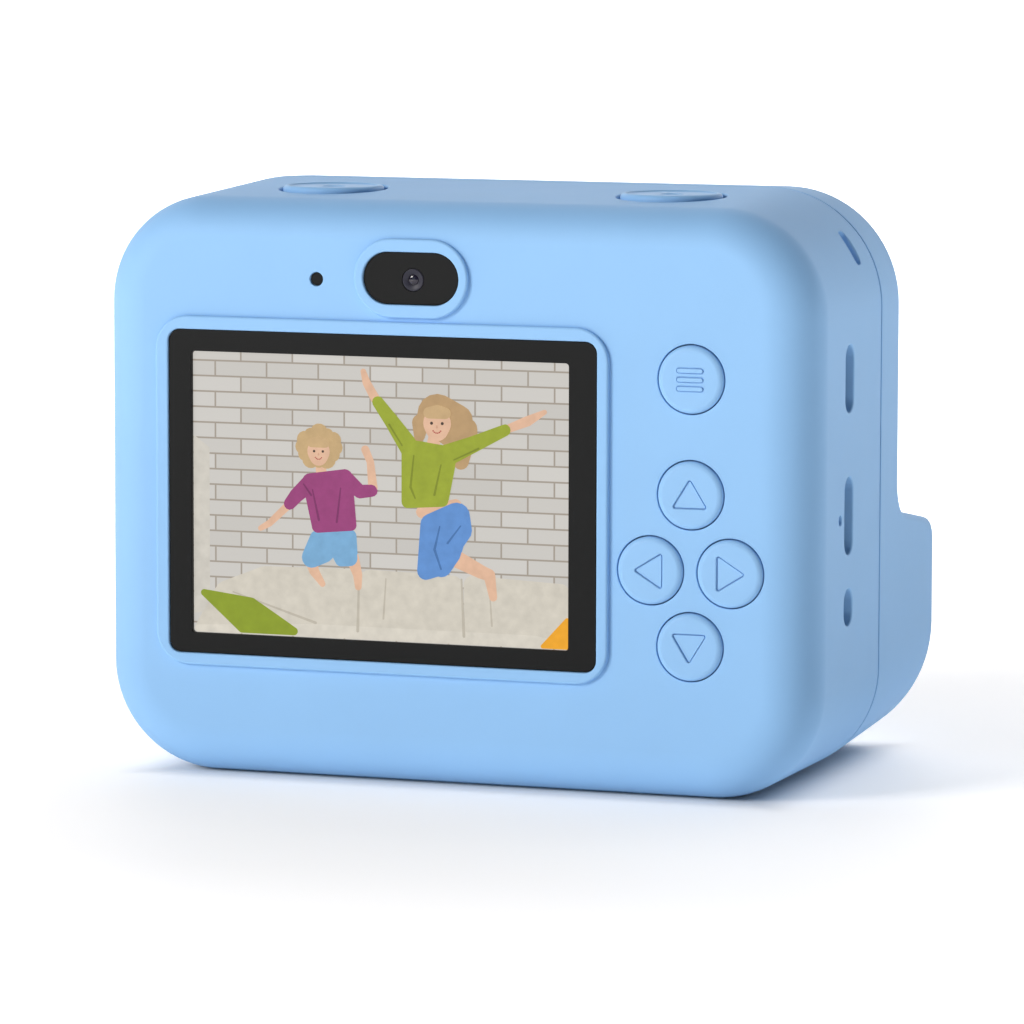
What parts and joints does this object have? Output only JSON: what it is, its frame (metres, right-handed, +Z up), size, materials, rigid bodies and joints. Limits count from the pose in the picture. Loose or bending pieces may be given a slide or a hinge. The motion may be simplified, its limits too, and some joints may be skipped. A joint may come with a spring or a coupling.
{
  "type": "kids digital camera",
  "caption": "Chunky children's camera with a screen and round keys on one side, a lens on the other and an instant printer bay with a door.",
  "frame": {"origin": "centre of the bottom of the object's box", "axes": "+Z up, the screen faces -Y, the lens and the paper bay face +Y, +X is to the right seen from the screen side"},
  "size_m": [0.11, 0.0654, 0.0867],
  "materials": {
    "blue_plastic": "soft matte moulded plastic",
    "black_glass": "gloss black with a clear middle",
    "clear_glass": "clear",
    "screen": "lit display",
    "black_plastic": "matte black",
    "white_plastic": "satin white",
    "circuit_board": "green solder mask",
    "steel": "plain steel",
    "battery_foil": "foil pouch",
    "rubber": "matt rubber",
    "paper": "smooth coated paper",
    "brass": "turned brass"
  },
  "bodies": {
    "casing": {"battery": "battery_foil", "camera_module": "black_plastic", "card_socket": "steel", "case_screw_1": "steel", "case_screw_2": "steel", "case_screw_3": "steel", "case_screw_4": "steel", "flash_led": "white_plastic", "flash_window": "clear_glass", "front_shell": "blue_plastic", "gear_axle": "steel", "head_spring": "steel", "hinge_pin_1": "steel", "hinge_pin_2": "steel", "key_board": "circuit_board", "key_switch_1": "black_plastic", "key_switch_2": "black_plastic", "key_switch_3": "black_plastic", "key_switch_4": "black_plastic", "key_switch_5": "black_plastic", "lcd_panel": "screen", "lens_barrel": "black_plastic", "lens_element": "clear_glass", "lens_glass": "clear_glass", "lens_ring": "white_plastic", "main_board": "circuit_board", "microphone": "steel", "print_head": "steel", "printer_frame": "black_plastic", "rear_shell": "blue_plastic", "reset_switch": "black_plastic", "screen_window": "black_glass", "selfie_camera": "black_plastic", "selfie_window": "black_glass", "speaker": "black_plastic", "status_light": "white_plastic", "stepper_motor": "steel", "tear_bar": "steel", "top_board": "circuit_board", "top_switch_1": "black_plastic", "top_switch_2": "black_plastic", "usb_port": "steel"},
    "mode_button": {"mode_button": "blue_plastic"},
    "up_button": {"up_button": "blue_plastic"},
    "left_button": {"left_button": "blue_plastic"},
    "right_button": {"right_button": "blue_plastic"},
    "down_button": {"down_button": "blue_plastic"},
    "left_top_button": {"left_top_button": "blue_plastic"},
    "right_top_button": {"right_top_button": "blue_plastic"},
    "door": {"paper_door": "blue_plastic", "platen_bush_1": "brass", "platen_bush_2": "brass"},
    "platen": {"platen_roller": "rubber", "platen_shaft": "steel", "platen_gear": "white_plastic"},
    "reduction": {"reduction_gear": "white_plastic"},
    "pinion": {"motor_pinion": "brass"},
    "roll": {"paper_roll": "paper", "roll_core": "white_plastic"}
  },
  "joints": [
    {"name": "mode_press", "type": "slide", "parent": "casing", "child": "mode_button", "axis": [0, 1, 0], "range_m": [0, 0.0007], "stiffness_N_per_m": 1500},
    {"name": "up_press", "type": "slide", "parent": "casing", "child": "up_button", "axis": [0, 1, 0], "range_m": [0, 0.0007], "stiffness_N_per_m": 1500},
    {"name": "left_press", "type": "slide", "parent": "casing", "child": "left_button", "axis": [0, 1, 0], "range_m": [0, 0.0007], "stiffness_N_per_m": 1500},
    {"name": "right_press", "type": "slide", "parent": "casing", "child": "right_button", "axis": [0, 1, 0], "range_m": [0, 0.0007], "stiffness_N_per_m": 1500},
    {"name": "down_press", "type": "slide", "parent": "casing", "child": "down_button", "axis": [0, 1, 0], "range_m": [0, 0.0007], "stiffness_N_per_m": 1500},
    {"name": "left_top_press", "type": "slide", "parent": "casing", "child": "left_top_button", "axis": [0, 0, -1], "range_m": [0, 0.001], "stiffness_N_per_m": 1500},
    {"name": "right_top_press", "type": "slide", "parent": "casing", "child": "right_top_button", "axis": [0, 0, -1], "range_m": [0, 0.001], "stiffness_N_per_m": 1500},
    {"name": "door_swing", "type": "hinge", "parent": "casing", "child": "door", "pos_m": [0, 0.03175, 0.006], "axis": [-1, 0, 0], "range_deg": [0, 90]},
    {"name": "platen_spin", "type": "hinge", "parent": "door", "child": "platen", "pos_m": [0, 0.02435, 0.0286], "axis": [1, 0, 0], "continuous": true},
    {"name": "reduction_spin", "type": "hinge", "parent": "casing", "child": "reduction", "pos_m": [0, 0.0175, 0.0286], "axis": [1, 0, 0], "continuous": true},
    {"name": "motor_spin", "type": "hinge", "parent": "casing", "child": "pinion", "pos_m": [0, 0.01107, 0.02217], "axis": [1, 0, 0], "continuous": true},
    {"name": "roll_spin", "type": "hinge", "parent": "casing", "child": "roll", "pos_m": [0, 0.01305, 0.0135], "axis": [1, 0, 0], "continuous": true}
  ],
  "couplings": [
    {"joint": "reduction_spin", "follows": "platen_spin", "ratio": -1.25},
    {"joint": "motor_spin", "follows": "platen_spin", "ratio": 2.5}
  ]
}
